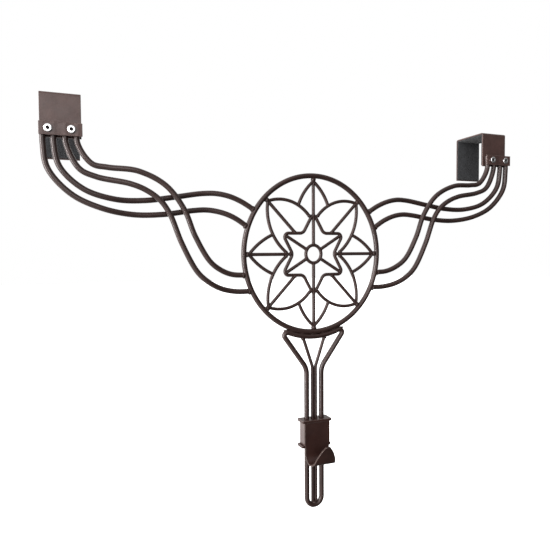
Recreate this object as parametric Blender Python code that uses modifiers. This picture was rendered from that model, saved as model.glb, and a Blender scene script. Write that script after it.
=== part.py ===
"""Over-the-door hanger for a wreath, with a hook that slides on its stem.

Two padded steel straps hook over the top edge of a door. Four bent rods run from
each strap to a ring filled with a wire flower. A narrow rod loop hangs below the
ring, and a hook in a sheet-metal slider runs up and down it.

+X is along the door, +Y points into the door (the hanger's front faces -Y), +Z is
up. The origin is the middle of the door's top edge: halfway between the straps,
in the middle of the door's thickness, on the surface that carries the pads.
"""
import math

import bmesh
import bpy
from mathutils import Matrix, Vector

MM = 0.001

# ---- driving dimensions, in millimetres --------------------------------------
ROD = 6.8                # arms, ring and stem
THIN = 4.4               # flower and the stem's filler wires
GAP = 0.3                # between pieces that touch

DOOR_T = 45.0            # clear slot for a 1 3/4 in door
PAD_T = 1.2
STRAP_T = 1.8
STRAP_W = 44.6
STRAP_X = 315.2          # middle of a strap from the middle of the hanger
FRONT_H = 50.5           # front leg of a strap
BACK_H = 65.0            # back leg of a strap
STRAP_BEND = 2.1         # centreline radius of the two bends

STRIP_T = 1.5            # strip that clamps the four rods to the strap
STRIP_H = 14.5
STRIP_W = 46.2
STRIP_DROP = 35.2        # its top edge below the top of the strap
RIVET_R = 4.6
RIVET_SHANK = 2.0
RIVET_HEAD = 1.1

RING_R = 99.2            # half of the ring's width, on its centreline
OVAL = 1.04              # the ring and its flower are this much taller than wide
RING_DROP = 182.3        # its centre below the top of the strap
HUB_R = 11.3
STAR_TIP, STAR_NOTCH = 52.6, 30.6
LOBE_R, NOTCH_R = 5.0, 8.0

STEM_ARC = RING_R + (ROD + 0.4) / OVAL
STEM_SPREAD = 29.8       # degrees each side of straight down
STEM_CORNER = 3.9        # where the bow turns down into the legs
STEM_HALF = 11.0         # half the spacing of the two parallel rods
STEM_NECK = 152.0        # where the legs turn straight down, below the ring centre
STEM_END = 338.7         # lowest point of the stem's centreline, below the ring centre
CORE_HALF = (THIN + GAP) / 2

SLIDE_DROP = 220.0       # top of the slider below the ring centre
SLIDE_H = 37.0
FLANGE_T = 3.2
PLATE_T = 1.5
HOOK_T = 1.8
HOOK_W = 35.0
HOOK_R = 10.8
HOOK_LOW = -54.9         # underside of the bend, on the sheet's centreline
HOOK_WAIST = -33.6       # the sheet is a little narrower below this
HOOK_TIP = (-36.2, -27.0)   # y, z of the lip's end from the slider's origin

STRAP_TOP = PAD_T + GAP + STRAP_T
RING_Z = STRAP_TOP - RING_DROP
RING_Y = -(DOOR_T / 2 + PAD_T + GAP + STRAP_T + GAP + ROD / 2)
CLAMP_TOP = STRAP_TOP - STRIP_DROP
SLIDE_Z = RING_Z - SLIDE_DROP

BRONZE = dict(colour=(0.060, 0.040, 0.036), metallic=0.35, roughness=0.38)
FOAM = dict(colour=(0.045, 0.050, 0.056), metallic=0.0, roughness=0.95)
STEEL = dict(colour=(0.82, 0.82, 0.83), metallic=1.0, roughness=0.28)

# ---- scene -----------------------------------------------------------------------
for old in list(bpy.data.objects):
    bpy.data.objects.remove(old, do_unlink=True)


def collection(name):
    made = bpy.data.collections.new(name)
    bpy.context.scene.collection.children.link(made)
    return made


PARTS = collection("door_wreath_hanger")
CUTTERS = collection("cutters")


def empty(name, at, parent=None):
    made = bpy.data.objects.new(name, None)
    made.empty_display_size = 0.02
    made.location = Vector(at) * MM
    made.parent = parent
    PARTS.objects.link(made)
    return made


FRAME = empty("frame", (0, 0, 0))
MEDALLION = empty("medallion", (0, RING_Y, RING_Z), FRAME)
SLIDER = empty("slider", (0, RING_Y, SLIDE_Z), FRAME)


def material(name, colour, metallic, roughness):
    made = bpy.data.materials.new(name)
    made.use_nodes = True
    shader = made.node_tree.nodes["Principled BSDF"]
    shader.inputs["Base Color"].default_value = (*colour, 1.0)
    shader.inputs["Metallic"].default_value = metallic
    shader.inputs["Roughness"].default_value = roughness
    return made


# ---- paths -----------------------------------------------------------------------
def vec(p):
    """A point given as (x, z) lies in the plane of the ring; (x, y, z) is kept."""
    return Vector((p[0], 0.0, p[1])) if len(p) == 2 else Vector(p)


def line(a, b, step=0.25):
    a, b = vec(a), vec(b)
    n = max(1, round((b - a).length / step))
    return [a.lerp(b, i / n) for i in range(n + 1)]


def through(points, step=0.4):
    """Centripetal Catmull-Rom curve through the points."""
    p = [vec(q) for q in points]
    p = [2 * p[0] - p[1]] + p + [2 * p[-1] - p[-2]]
    out = [p[1]]
    for a, b, c, d in zip(p, p[1:], p[2:], p[3:]):
        t1 = (b - a).length ** 0.5
        t2 = t1 + (c - b).length ** 0.5
        t3 = t2 + (d - c).length ** 0.5
        n = max(2, round((c - b).length / step))
        for i in range(1, n + 1):
            t = t1 + (t2 - t1) * i / n
            a1 = a.lerp(b, t / t1)
            a2 = b.lerp(c, (t - t1) / (t2 - t1))
            a3 = c.lerp(d, (t - t2) / (t3 - t2))
            b1 = a1.lerp(a2, t / t2)
            b2 = a2.lerp(a3, (t - t1) / (t3 - t1))
            out.append(b1.lerp(b2, (t - t1) / (t2 - t1)))
    return out


def arc(centre, radius, start, end, step=0.25):
    """Arc in the plane of the ring; angles in degrees from +X towards +Z."""
    n = max(2, round(abs(math.radians(end - start)) * radius / step))
    angles = [math.radians(start + (end - start) * i / n) for i in range(n + 1)]
    return [vec((centre[0] + radius * math.cos(a), centre[1] + radius * math.sin(a)))
            for a in angles]


def bulged(a, b, rise):
    """Arc from a to b whose middle stands off the chord by rise, to its left."""
    a, b = vec(a), vec(b)
    half = (b - a).length / 2
    radius = (half * half + rise * rise) / (2 * abs(rise))
    left = Vector((-(b - a).z, 0, (b - a).x)).normalized() * math.copysign(1, rise)
    centre = (a + b) / 2 - left * (radius - abs(rise))
    start = math.degrees(math.atan2(a.z - centre.z, a.x - centre.x))
    sweep = -2 * math.degrees(math.asin(half / radius)) * math.copysign(1, rise)
    return arc((centre.x, centre.z), radius, start, start + sweep)


def rounded(corners, radii, closed=False):
    """Straight lines between the corners, each corner rounded to its radius."""
    p = [vec(q) for q in corners]
    n = len(p)
    out = []
    for i, (q, r) in enumerate(zip(p, radii)):
        if not closed and i in (0, n - 1):
            out.append(q)
            continue
        back, ahead = (p[i - 1] - q).normalized(), (p[(i + 1) % n] - q).normalized()
        half = back.angle(ahead) / 2
        if r <= 0 or half > math.radians(89.9):
            out.append(q)
            continue
        centre = q + (back + ahead).normalized() * (r / math.sin(half))
        first = q + back * (r / math.tan(half)) - centre
        last = q + ahead * (r / math.tan(half)) - centre
        turns = max(2, math.ceil((math.pi - 2 * half) / (2 * math.acos(1 - 0.08 / r))))
        out += [centre + first.normalized().slerp(last.normalized(), k / turns) * r
                for k in range(turns + 1)]
    return out


def fine(path, step=0.25, closed=False):
    """The same path with a point at least every step."""
    ends = path[1:] + path[:1] if closed else path[1:]
    out = [path[0]]
    for a, b in zip(path, ends):
        out += line(a, b, step)[1:]
    return out[:-1] if closed else out


def simple(path, slack=0.12):
    """Fewest points that keep within slack of the path (Douglas-Peucker)."""
    if len(path) < 3:
        return list(path)
    a, b = path[0], path[-1]
    chord = b - a
    far, at = 0.0, 0
    for i in range(1, len(path) - 1):
        off = path[i] - a
        if chord.length > 1e-9:
            off = off - chord * max(0, min(1, off.dot(chord) / chord.length_squared))
        if off.length > far:
            far, at = off.length, i
    if far <= slack:
        return [a, b]
    return simple(path[:at + 1], slack)[:-1] + simple(path[at:], slack)


def distance(q, path):
    best = 1e9
    for a, b in zip(path, path[1:]):
        along = b - a
        t = max(0, min(1, (q - a).dot(along) / max(along.length_squared, 1e-12)))
        best = min(best, (q - a - along * t).length)
    return best


def butted(path, dia, *against):
    """Cut the path's end back until its square-cut end clears the other wires.

    against holds (other path, its diameter) pairs.
    """
    path = list(path)
    while len(path) > 3:
        tip = path[-1]
        run = (tip - path[-2]).normalized()
        side = Vector((-run.z, 0, run.x)).normalized() * dia / 2
        edge = [tip, tip + side, tip - side]
        if all(distance(q, other) >= d / 2 + GAP for other, d in against for q in edge):
            break
        path.pop()
    return path


def both_ends(path, dia, first, last):
    path = butted(path, dia, *last)
    return butted(path[::-1], dia, *first)[::-1]


def oval(path):
    """A path drawn for a round ring, made as tall as the ring is."""
    return [Vector((p.x, p.y, p.z * OVAL)) for p in path]


def mirrored(path):
    return [Vector((-p.x, p.y, p.z)) for p in path]


# ---- makers ----------------------------------------------------------------------
def place(ob, parent, look):
    ob.parent = parent
    ob.data.materials.clear()
    ob.data.materials.append(material(ob.name, **look))
    PARTS.objects.link(ob)
    return ob


def wire(name, path, dia, parent, look=BRONZE, closed=False, slack=0.12):
    """A round wire along the path, in the parent's millimetres."""
    if closed:
        k = len(path) // 2
        path = simple(path[:k + 1], slack)[:-1] + simple(path[k:] + path[:1], slack)[:-1]
    else:
        path = simple(path, slack)
    data = bpy.data.curves.new(name, "CURVE")
    data.dimensions = "3D"
    data.twist_mode = "MINIMUM"
    data.bevel_depth = dia / 2 * MM
    data.bevel_resolution = 2 if dia > 5 else 1
    data.use_fill_caps = True
    spline = data.splines.new("POLY")
    spline.points.add(len(path) - 1)
    for point, p in zip(spline.points, path):
        point.co = (*(p * MM), 1.0)
    spline.use_cyclic_u = closed
    spline.use_smooth = True
    ob = bpy.data.objects.new(name, data)
    return place(ob, parent, look)


def sheet(path, thick):
    """Closed outline of a bent sheet whose centreline is the path, in (x, z)."""
    left, right = [], []
    for i, p in enumerate(path):
        back = p - path[i - 1] if i else path[1] - p
        ahead = path[i + 1] - p if i < len(path) - 1 else back
        run = (back.normalized() + ahead.normalized()).normalized()
        reach = thick / 2 / max(0.3, run.dot(ahead.normalized()))
        side = Vector((-run.z, 0, run.x)) * reach
        left.append(p + side)
        right.append(p - side)
    return left + right[::-1]


def slab(name, outline, width):
    """A flat outline given in (x, z), drawn in local XY, width thick about local Z."""
    data = bpy.data.curves.new(name, "CURVE")
    data.dimensions = "2D"
    data.fill_mode = "BOTH"
    data.extrude = width / 2 * MM
    spline = data.splines.new("POLY")
    spline.points.add(len(outline) - 1)
    for point, p in zip(spline.points, outline):
        point.co = (p.x * MM, p.z * MM, 0.0, 1.0)
    spline.use_cyclic_u = True
    return bpy.data.objects.new(name, data)


def as_mesh(ob):
    """The curve object as a closed mesh object with the same name and placing."""
    label = ob.name
    bpy.context.scene.collection.objects.link(ob)
    bpy.context.view_layer.update()
    data = bpy.data.meshes.new_from_object(ob.evaluated_get(
        bpy.context.evaluated_depsgraph_get()))
    made = bpy.data.objects.new(label, data)
    made.matrix_world = ob.matrix_world.copy()
    shape = bmesh.new()
    shape.from_mesh(data)
    bmesh.ops.remove_doubles(shape, verts=shape.verts, dist=1e-6)
    bmesh.ops.recalc_face_normals(shape, faces=shape.faces)
    shape.to_mesh(data)
    shape.free()
    old = ob.data
    bpy.data.objects.remove(ob)
    bpy.data.curves.remove(old)
    made.name = label
    return made


def box(name, size, at):
    data = bpy.data.meshes.new(name)
    shape = bmesh.new()
    bmesh.ops.create_cube(shape, size=1.0)
    bmesh.ops.scale(shape, vec=Vector(size) * MM, verts=shape.verts)
    shape.to_mesh(data)
    shape.free()
    ob = bpy.data.objects.new(name, data)
    ob.location = Vector(at) * MM
    return ob


def cylinder(name, radius, length, at, turn=(0, 0, 0), sides=20):
    data = bpy.data.meshes.new(name)
    shape = bmesh.new()
    bmesh.ops.create_cone(shape, cap_ends=True, segments=sides, radius1=radius * MM,
                          radius2=radius * MM, depth=length * MM)
    shape.to_mesh(data)
    shape.free()
    ob = bpy.data.objects.new(name, data)
    ob.location = Vector(at) * MM
    ob.rotation_euler = [math.radians(t) for t in turn]
    return ob


def cut(ob, *cutters):
    """Subtract the cutters, which are placed in the same parent as the object."""
    for tool in cutters:
        tool.parent = ob.parent
        tool.hide_render = True
        tool.display_type = "WIRE"
        CUTTERS.objects.link(tool)
        change = ob.modifiers.new("cut", "BOOLEAN")
        change.operation = "DIFFERENCE"
        change.object = tool
    return ob


ALONG_X = (math.radians(90), 0, math.radians(90))   # local XY drawing onto YZ
ALONG_Y = (math.radians(90), 0, 0)                  # local XY drawing onto XZ

# ---- door brackets -----------------------------------------------------------------
strap_y = DOOR_T / 2 + PAD_T + GAP + STRAP_T / 2
strap_z = STRAP_TOP - STRAP_T / 2
strap_path = rounded([(-strap_y, STRAP_TOP - FRONT_H), (-strap_y, strap_z),
                      (strap_y, strap_z), (strap_y, STRAP_TOP - BACK_H)],
                     [0, STRAP_BEND, STRAP_BEND, 0])
pad_y, pad_z = (DOOR_T + PAD_T) / 2, PAD_T / 2
pad_path = rounded([(-pad_y, STRAP_TOP - FRONT_H + 1.5), (-pad_y, pad_z),
                    (pad_y, pad_z), (pad_y, STRAP_TOP - BACK_H + 1.5)],
                   [0, 0.7, 0.7, 0])

# distance of each rod from the middle of the hanger, where the strip clamps it
ROD_X = (334.1, 322.7, 310.0, 297.5)
RIVET_X = ((ROD_X[0] + ROD_X[1]) / 2, (ROD_X[2] + ROD_X[3]) / 2)
strip_y = RING_Y - ROD / 2 - GAP - STRIP_T / 2
strip_z = CLAMP_TOP - STRIP_H / 2

for side, sign in (("left", -1), ("right", 1)):
    strap = slab(side + "_bracket", sheet(strap_path, STRAP_T), STRAP_W)
    strap.rotation_euler = ALONG_X
    strap.location = (sign * STRAP_X * MM, 0, 0)
    strap = place(as_mesh(strap), FRAME, BRONZE)
    strip = place(box(side + "_clamp_strip", (STRIP_W, STRIP_T, STRIP_H),
                      (sign * STRAP_X, strip_y, strip_z)), FRAME, BRONZE)
    edge = strip.modifiers.new("edge", "BEVEL")
    edge.width = 0.4 * MM
    edge.segments = 1
    edge.limit_method = "ANGLE"
    for where, x in zip(("outer", "inner"), RIVET_X):
        for ob in (strap, strip):
            cut(ob, cylinder(f"{ob.name}_{where}_hole", RIVET_SHANK + GAP, 8.0,
                             (sign * x, strip_y if ob is strip else -strap_y, strip_z),
                             (90, 0, 0), sides=16))

    pad = slab(side + "_bracket_pad", sheet(pad_path, PAD_T), STRAP_W)
    pad.rotation_euler = ALONG_X
    pad.location = (sign * STRAP_X * MM, 0, 0)
    place(as_mesh(pad), FRAME, FOAM)

    # blind rivets: flanged head with the open mandrel hole, plain shank
    head_y = strip_y - STRIP_T / 2 - GAP
    shank_end = -strap_y + STRAP_T / 2
    profile = [(0, 1.5), (1.4, 1.5), (1.4, -RIVET_HEAD + 0.15), (1.75, -RIVET_HEAD),
               (3.0, -RIVET_HEAD), (RIVET_R, -0.35), (RIVET_R, 0), (RIVET_SHANK, 0),
               (RIVET_SHANK, shank_end - head_y), (0, shank_end - head_y)]
    for where, x in zip(("outer", "inner"), RIVET_X):
        data = bpy.data.meshes.new(f"{side}_rivet_{where}")
        shape = bmesh.new()
        ring = [shape.verts.new((r * MM, 0, -y * MM)) for r, y in profile]
        for a, b in zip(ring, ring[1:]):
            shape.edges.new((a, b))
        shape.to_mesh(data)
        shape.free()
        rivet = bpy.data.objects.new(data.name, data)
        rivet.location = Vector((sign * x, head_y, strip_z)) * MM
        rivet.rotation_euler = ALONG_Y
        turned = rivet.modifiers.new("turn", "SCREW")
        turned.axis = "Z"
        turned.steps = turned.render_steps = 12
        turned.use_merge_vertices = True
        turned.merge_threshold = 1e-6
        place(rivet, FRAME, STEEL)

# ---- ring and arms -------------------------------------------------------------------
ring_path = oval(arc((0, 0), RING_R, 0, 360))
wire("medallion_ring", ring_path[:-1], ROD, MEDALLION, closed=True, slack=0.2)


def sideways(x):
    """How far a rod stands out of the plane of the ring at x, as a share of 1."""
    rise = max(0.0, min(1.0, (x - 112) / 42, (278 - x) / 48))
    return rise * rise * (3 - 2 * rise)


# routes from the clamp to the ring, from the ring's centre; y is added where they cross
ROUTES = (
    (124, [(329.8, 97), (305.9, 69.8), (272.9, 54.5), (236.9, 48), (200.4, 48.9),
           (164.2, 54.2), (146, 55.3), (128.1, 52.4), (111.2, 45.9), (90, 32.5)]),
    (124, [(317, 99), (292, 75.5), (258, 65.2), (222.5, 64.9), (187.4, 69.8),
           (152.4, 75.3), (134.7, 75.7), (117.3, 72.4), (100.9, 65.9), (80, 53.5)]),
    (126, [(296.4, 98.3), (278.8, 90.1), (240.3, 83), (222.1, 76.3), (206, 65.3),
           (194.5, 49.7), (179.8, 13.5), (161, -20.6), (146.5, -33.7), (129.1, -42.4),
           (110, -46.3), (86, -46.5)]),
    (126, [(282.5, 104.4), (265.3, 101), (230.2, 97.7), (198.7, 82.6), (176.8, 55.3),
           (163.3, 22.7), (145.3, -7.4), (131.5, -18.3), (115.2, -24.7), (92, -26)]),
)
clamp_end = CLAMP_TOP - 1.2 - RING_Z
for number, (x, (straight, route)) in enumerate(zip(ROD_X, ROUTES), 1):
    path = through([(x, clamp_end), (x, straight)] + route)
    side_step = (ROD + GAP) / 2 * (1 if number < 3 else -1)
    for p in path:
        p.y = side_step * sideways(p.x)
    outside = [p for p in path if math.hypot(p.x, p.z / OVAL) > RING_R]
    path = butted(outside, ROD, (ring_path, ROD))
    wire(f"right_wire_{number}", path, ROD, MEDALLION)
    wire(f"left_wire_{number}", mirrored(path), ROD, MEDALLION)

# ---- flower in the ring -----------------------------------------------------------------
hub_path = arc((0, 0), HUB_R, 0, 360)
wire("hub_ring", oval(hub_path[:-1]), THIN, MEDALLION, closed=True, slack=0.25)

star_corners = []
for k in range(6):
    for radius, angle in ((STAR_TIP, 90 + 60 * k), (STAR_NOTCH, 120 + 60 * k)):
        a = math.radians(angle)
        star_corners.append((radius * math.cos(a), radius * math.sin(a)))
star_path = rounded(star_corners, [LOBE_R, NOTCH_R] * 6, closed=True)
wire("star_wire", oval(star_path), THIN, MEDALLION, closed=True, slack=0.02)
star_loop = star_path + star_path[:1]

spoke = both_ends(line((0, HUB_R), (0, 50)), THIN, [(hub_path, THIN)],
                  [(star_loop, THIN)])
for k in range(6):
    turn = Matrix.Rotation(math.radians(60 * k), 3, "Y")
    wire(f"hub_spoke_{k + 1}", oval([turn @ p for p in spoke]), THIN, MEDALLION)

# four diagonal leaves, each a bent wire from the star to the ring and back
tip = (RING_R - ROD / 2 - GAP - THIN / 2 / math.sin(math.radians(57))) / math.sqrt(2)
leaf = bulged((6.6, 48.7), (tip, tip), 9.7) + bulged((tip, tip), (41.2, 4.2), 9.3)[1:]
leaf = both_ends(leaf, THIN, [(star_loop, THIN)], [(star_loop, THIN)])
leaves = {}
for number, (sx, sz) in enumerate(((1, 1), (1, -1), (-1, -1), (-1, 1)), 1):
    path = [Vector((sx * p.x, 0, sz * p.z)) for p in leaf]
    leaves[sx, sz] = path
    wire(f"diagonal_petal_{number}", oval(path), THIN, MEDALLION)

# four leaves behind them, up, right, down and left, whose feet end on the diagonal ones
reach = RING_R - ROD / 2 - GAP - THIN / 2 / math.sin(math.radians(42))
petals = {}
for number, (ux, uz, half, depth) in enumerate(((0, 1, 22.0, 62.0), (1, 0, 24.6, 58.6),
                                                (0, -1, 22.0, 62.0), (-1, 0, 24.6, 58.6)), 1):
    feet = []
    for s in (-1, 1):
        foot = (ux * depth + s * uz * half, uz * depth - s * ux * half)
        side = [leaves[sx, sz] for sx, sz in leaves
                if sx * (foot[0]) > 0 and sz * (foot[1]) > 0]
        path = bulged((ux * reach, uz * reach), foot, s * 2.6)
        feet.append(butted(path, THIN, *[(other, THIN) for other in side]))
    path = feet[0][::-1] + feet[1][1:]
    petals[ux, uz] = path
    wire(f"cardinal_petal_{number}", oval(path), THIN, MEDALLION)

# a straight rib down the middle of every leaf, from its tip to the star
lobe = STAR_TIP - 5.2
flank = STAR_TIP / 2
notch = STAR_NOTCH + 1.6
ribs = [((0, reach), (0, lobe), petals[0, 1]), ((tip, tip), (flank, flank), leaves[1, 1]),
        ((reach, 0), (notch, 0), petals[1, 0]), ((tip, -tip), (flank, -flank), leaves[1, -1]),
        ((0, -reach), (0, -lobe), petals[0, -1]), ((-tip, -tip), (-flank, -flank), leaves[-1, -1]),
        ((-reach, 0), (-notch, 0), petals[-1, 0]), ((-tip, tip), (-flank, flank), leaves[-1, 1])]
for number, (outer, inner, around) in enumerate(ribs, 1):
    path = butted(line(outer, inner), THIN, (star_loop, THIN))
    path = butted(path[::-1], THIN, (around, THIN))[::-1]
    wire(f"midrib_{number}", oval(path), THIN, MEDALLION)

# ---- stem -------------------------------------------------------------------------------
spread = math.radians(STEM_SPREAD)
shoulder = (STEM_ARC * math.sin(spread), -STEM_ARC * math.cos(spread) * OVAL)
turn_z = -(STEM_END - STEM_HALF)
bow = oval(arc((0, 0), STEM_ARC, -90 - STEM_SPREAD + 6, -90 + STEM_SPREAD - 6))
corners = ([(p.x, p.z) for p in bow]
           + [shoulder, (STEM_HALF, -STEM_NECK), (STEM_HALF, turn_z)]
           + [(STEM_HALF * math.cos(a), turn_z - STEM_HALF * math.sin(a))
              for a in (math.pi * k / 24 for k in range(1, 24))]
           + [(-STEM_HALF, turn_z), (-STEM_HALF, -STEM_NECK), (-shoulder[0], shoulder[1])])
bends = ([0] * len(bow) + [STEM_CORNER, 25.0, 0] + [0] * 23
         + [0, 25.0, STEM_CORNER])
stem_path = rounded(corners, bends, closed=True)
wire("stem_loop", fine(stem_path, closed=True), ROD, MEDALLION, closed=True)
stem_loop = stem_path + stem_path[:1]

core = rounded([(16.8, -STEM_ARC * OVAL + 4), (CORE_HALF, -150.0), (CORE_HALF, -STEM_END)],
               [0, 14.0, 0])
core = both_ends(fine(core), THIN, [(stem_loop, ROD)], [(stem_loop, ROD)])
wire("stem_inner_right", core, THIN, MEDALLION)
wire("stem_inner_left", mirrored(core), THIN, MEDALLION)

# ---- slider and hook, from the slider's origin on the stem's axis ---------------------------
front = -6.9                                   # front edges of the channel
hook_y = front - GAP - HOOK_T / 2
plate_front = hook_y - HOOK_T / 2 - 0.5
back = 7.2
wide_flange, wide_body = 43.2, 37.0
play = 0.5

plates = (("slider_top_plate", plate_front, -FLANGE_T / 2),
          ("slider_bottom_plate", front, -SLIDE_H + FLANGE_T / 2))
for name, y0, z in plates:
    plate = place(box(name, (wide_flange, back - y0, FLANGE_T), (0, (y0 + back) / 2, z)),
                  SLIDER, BRONZE)
    holes = [cylinder(f"{name}_hole_{n}", ROD / 2 + play, 8, (s * STEM_HALF, 0, z), sides=20)
             for n, s in enumerate((-1, 1), 1)]
    holes.append(box(name + "_slot", (2 * (CORE_HALF + THIN / 2 + play),
                                      THIN + 2 * play, 8), (0, 0, z)))
    cut(plate, *holes)

inner = back - 0.2 - PLATE_T / 2
wall = wide_body / 2 - PLATE_T / 2
channel_path = rounded([(-wall, front), (-wall, inner), (wall, inner), (wall, front)],
                       [0, 1.6, 1.6, 0])
channel = slab("slider_channel", sheet(channel_path, PLATE_T),
               SLIDE_H - 2 * FLANGE_T - 2 * GAP)
channel.location = (0, 0, -SLIDE_H / 2 * MM)
place(as_mesh(channel), SLIDER, BRONZE)

# the front plate runs down into the hook: straight, a round bend, a leaning lip
bend = (hook_y - HOOK_R, HOOK_LOW + HOOK_R)
to_tip = Vector((HOOK_TIP[0] - bend[0], HOOK_TIP[1] - bend[1]))
leave = math.degrees(math.atan2(to_tip.y, to_tip.x) + math.acos(HOOK_R / to_tip.length))
hook_path = ([vec((hook_y, -FLANGE_T - GAP))]
             + arc(bend, HOOK_R, 0, leave - 360, step=1.6) + [vec(HOOK_TIP)])
hook = slab("hook_plate", sheet(hook_path, HOOK_T), wide_body)
hook.rotation_euler = ALONG_X
hook = place(as_mesh(hook), SLIDER, BRONZE)
lip_edge = through([(HOOK_W / 2 + 0.4, -58), (16.7, -55), (15.2, -50), (12.8, -42.5),
                    (8.8, -34.5), (4.6, -28.8), (1.9, -25.5)], step=1.5)
for side, s in (("left", -1), ("right", 1)):
    trim = slab(f"lip_trim_{side}",
                [Vector((s * p.x, 0, p.z)) for p in
                 lip_edge + [vec((3.0, -20)), vec((30, -20)), vec((30, -58))]], 40)
    trim.rotation_euler = ALONG_Y
    trim.location = (0, (bend[0] - 20) * MM, 0)
    waist = box(f"waist_trim_{side}", (10, 80, 60),
                (s * (HOOK_W / 2 + 5), hook_y - 20, HOOK_WAIST - 30))
    cut(hook, as_mesh(trim), waist)
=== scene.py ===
"""Looks for the over-the-door wreath hanger: coated rods, wire flower, padded straps,
bright blind rivets and the sliding sheet-metal hook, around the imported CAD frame."""

import math

import bmesh
import bpy
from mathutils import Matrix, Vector, noise


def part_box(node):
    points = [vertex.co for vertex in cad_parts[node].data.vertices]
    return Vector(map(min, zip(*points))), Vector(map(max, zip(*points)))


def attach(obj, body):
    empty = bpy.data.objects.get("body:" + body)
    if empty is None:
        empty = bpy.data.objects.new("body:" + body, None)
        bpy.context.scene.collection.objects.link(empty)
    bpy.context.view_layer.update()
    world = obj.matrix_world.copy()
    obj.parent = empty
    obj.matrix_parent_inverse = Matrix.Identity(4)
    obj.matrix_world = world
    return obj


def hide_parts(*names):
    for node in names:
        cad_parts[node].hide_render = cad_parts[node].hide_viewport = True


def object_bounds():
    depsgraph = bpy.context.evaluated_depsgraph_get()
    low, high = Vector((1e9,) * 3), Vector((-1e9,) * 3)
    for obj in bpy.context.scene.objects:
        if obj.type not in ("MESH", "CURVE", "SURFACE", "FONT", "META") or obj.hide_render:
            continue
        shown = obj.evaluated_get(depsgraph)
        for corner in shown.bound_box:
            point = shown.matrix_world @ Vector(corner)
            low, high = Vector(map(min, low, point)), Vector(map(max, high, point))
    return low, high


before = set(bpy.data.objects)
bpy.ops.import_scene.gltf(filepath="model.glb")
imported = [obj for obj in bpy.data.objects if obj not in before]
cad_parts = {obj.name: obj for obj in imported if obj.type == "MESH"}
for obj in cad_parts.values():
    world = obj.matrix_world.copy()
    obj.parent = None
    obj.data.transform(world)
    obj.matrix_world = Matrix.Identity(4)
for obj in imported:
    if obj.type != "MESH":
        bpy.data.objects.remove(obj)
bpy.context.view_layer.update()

MM = 0.001

# ---- camera: in front of the left strap and level with the ring -----------------------------
CAMERA_AT = (-0.3191, -0.5987, -0.1822)          # metres
CAMERA_TURN = (87.903, 0.578, -18.892)           # degrees
SENSOR, LENS, SHIFT_X = 36.0, 31.584, 0.0909

camera = bpy.data.objects.new("camera", bpy.data.cameras.new("camera"))
bpy.context.scene.collection.objects.link(camera)
bpy.context.scene.camera = camera
camera.location = CAMERA_AT
camera.rotation_euler = [math.radians(a) for a in CAMERA_TURN]
camera.data.sensor_width = SENSOR
camera.data.lens = LENS
camera.data.shift_x = SHIFT_X
camera.data.clip_start = 0.01

# ---- sizes, in millimetres, as in the CAD ---------------------------------------------------
ROD, THIN = 6.8, 4.4
GAP = 0.3                                     # between CAD solids that touch
RING_R, HUB_R, OVAL = 99.2, 11.3, 1.04
STAR_TIP, STAR_NOTCH, LOBE_R, NOTCH_R = 52.6, 30.6, 5.0, 8.0
STEM_ARC = RING_R + (ROD - 0.1) / OVAL        # the bow is welded along the ring
STEM_SPREAD, STEM_CORNER = 29.8, 3.9
STEM_HALF, STEM_NECK, STEM_END = 11.0, 152.0, 338.7
CORE_HALF = (THIN + GAP) / 2
ROD_X = (334.1, 322.7, 310.0, 297.5)          # the four rods in their clamp
STRAP_T, PAD_T, FRONT_LEG, STRAP_BEND, PAD_BEND = 1.8, 1.2, 50.5, 2.1, 0.7
HOOK_T, PLATE_T, SHELL_BEND = 1.8, 1.5, 1.6
HOOK_W, HOOK_R, HOOK_LOW, HOOK_WAIST, HOOK_TIP = 35.0, 10.8, -54.9, -33.6, (-36.2, -27.0)


def corners(node):
    """The low and high corner of a CAD node's box, in millimetres."""
    lo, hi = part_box(node)
    return lo / MM, hi / MM


ring_lo, ring_hi = corners("medallion_ring")
RING_AT = (ring_lo + ring_hi) / 2
strap_lo, strap_hi = corners("right_bracket")
pad_lo, pad_hi = corners("right_bracket_pad")
strip_lo, strip_hi = corners("right_clamp_strip")
top_lo, top_hi = corners("slider_top_plate")
low_lo, low_hi = corners("slider_bottom_plate")
hook_hi = corners("hook_plate")[1]
channel_lo, channel_hi = corners("slider_channel")
SLIDE_AT = Vector((0, RING_AT.y, top_hi.z))


# ---- paths, in the plane of the ring (x, z) about its centre --------------------------------
def vec(p):
    """A point from (x, z), or from (x, y, z)."""
    return Vector((p[0], 0.0, p[1])) if len(p) == 2 else Vector(p)


def through(points, step=1.5):
    """A smooth curve through the points (centripetal Catmull-Rom)."""
    p = [vec(q) for q in points]
    p = [2 * p[0] - p[1]] + p + [2 * p[-1] - p[-2]]
    out = [p[1]]
    for a, b, c, d in zip(p, p[1:], p[2:], p[3:]):
        t1 = (b - a).length ** 0.5
        t2 = t1 + (c - b).length ** 0.5
        t3 = t2 + (d - c).length ** 0.5
        n = max(2, round((c - b).length / step))
        for i in range(1, n + 1):
            t = t1 + (t2 - t1) * i / n
            a1 = a.lerp(b, t / t1)
            a2 = b.lerp(c, (t - t1) / (t2 - t1))
            a3 = c.lerp(d, (t - t2) / (t3 - t2))
            b1 = a1.lerp(a2, t / t2)
            b2 = a2.lerp(a3, (t - t1) / (t3 - t1))
            out.append(b1.lerp(b2, (t - t1) / (t2 - t1)))
    return out


def arc(centre, radius, start, end, step=1.0):
    """An arc from the start angle to the end angle, in degrees from +X to +Z."""
    n = max(6, round(abs(math.radians(end - start)) * radius / step))
    angles = [math.radians(start + (end - start) * i / n) for i in range(n + 1)]
    return [vec((centre[0] + radius * math.cos(a), centre[1] + radius * math.sin(a)))
            for a in angles]


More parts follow.
